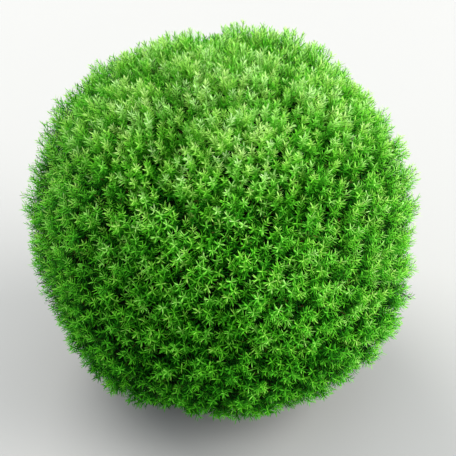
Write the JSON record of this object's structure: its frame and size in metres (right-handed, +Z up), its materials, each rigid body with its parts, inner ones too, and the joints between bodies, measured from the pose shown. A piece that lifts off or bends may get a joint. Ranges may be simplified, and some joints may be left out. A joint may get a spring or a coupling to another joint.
{
  "type": "dwarf globe conifer shrub",
  "caption": "Dense round dwarf conifer with a short hidden stem, rising boughs and masses of soft, feathery needle foliage down to the ground.",
  "frame": {"origin": "middle of the stem's flat cut at ground level", "axes": "+Z up along the stem; +X to the right and +Y to the back as seen in the picture"},
  "size_m": [0.4431, 0.4453, 0.4175],
  "materials": {
    "bark": "rough, fibrous grey-brown bark",
    "young_bark": "thin, matt reddish-brown bark",
    "foliage_low": "soft matt needles, deep green",
    "foliage_mid": "soft matt needles, mid green",
    "foliage_high": "soft matt needles, fresh green",
    "foliage_top": "soft matt needles, pale yellow-green"
  },
  "bodies": {
    "root": {"trunk": "bark", "bough_low_1": "young_bark", "foliage_low_1": "foliage_low", "bough_low_2": "young_bark", "foliage_low_2": "foliage_low", "bough_low_3": "young_bark", "foliage_low_3": "foliage_low", "bough_low_4": "young_bark", "foliage_low_4": "foliage_low", "bough_low_5": "young_bark", "foliage_low_5": "foliage_low", "bough_low_6": "young_bark", "foliage_low_6": "foliage_low", "bough_low_7": "young_bark", "foliage_low_7": "foliage_low", "bough_low_8": "young_bark", "foliage_low_8": "foliage_low", "bough_mid_1": "young_bark", "foliage_mid_1": "foliage_mid", "bough_mid_2": "young_bark", "foliage_mid_2": "foliage_mid", "bough_mid_3": "young_bark", "foliage_mid_3": "foliage_mid", "bough_mid_4": "young_bark", "foliage_mid_4": "foliage_mid", "bough_mid_5": "young_bark", "foliage_mid_5": "foliage_mid", "bough_mid_6": "young_bark", "foliage_mid_6": "foliage_mid", "bough_mid_7": "young_bark", "foliage_mid_7": "foliage_mid", "bough_mid_8": "young_bark", "foliage_mid_8": "foliage_mid", "bough_mid_9": "young_bark", "foliage_mid_9": "foliage_mid", "bough_high_1": "young_bark", "foliage_high_1": "foliage_high", "bough_high_2": "young_bark", "foliage_high_2": "foliage_high", "bough_high_3": "young_bark", "foliage_high_3": "foliage_high", "bough_high_4": "young_bark", "foliage_high_4": "foliage_high", "bough_high_5": "young_bark", "foliage_high_5": "foliage_high", "foliage_top": "foliage_top"}
  },
  "joints": []
}
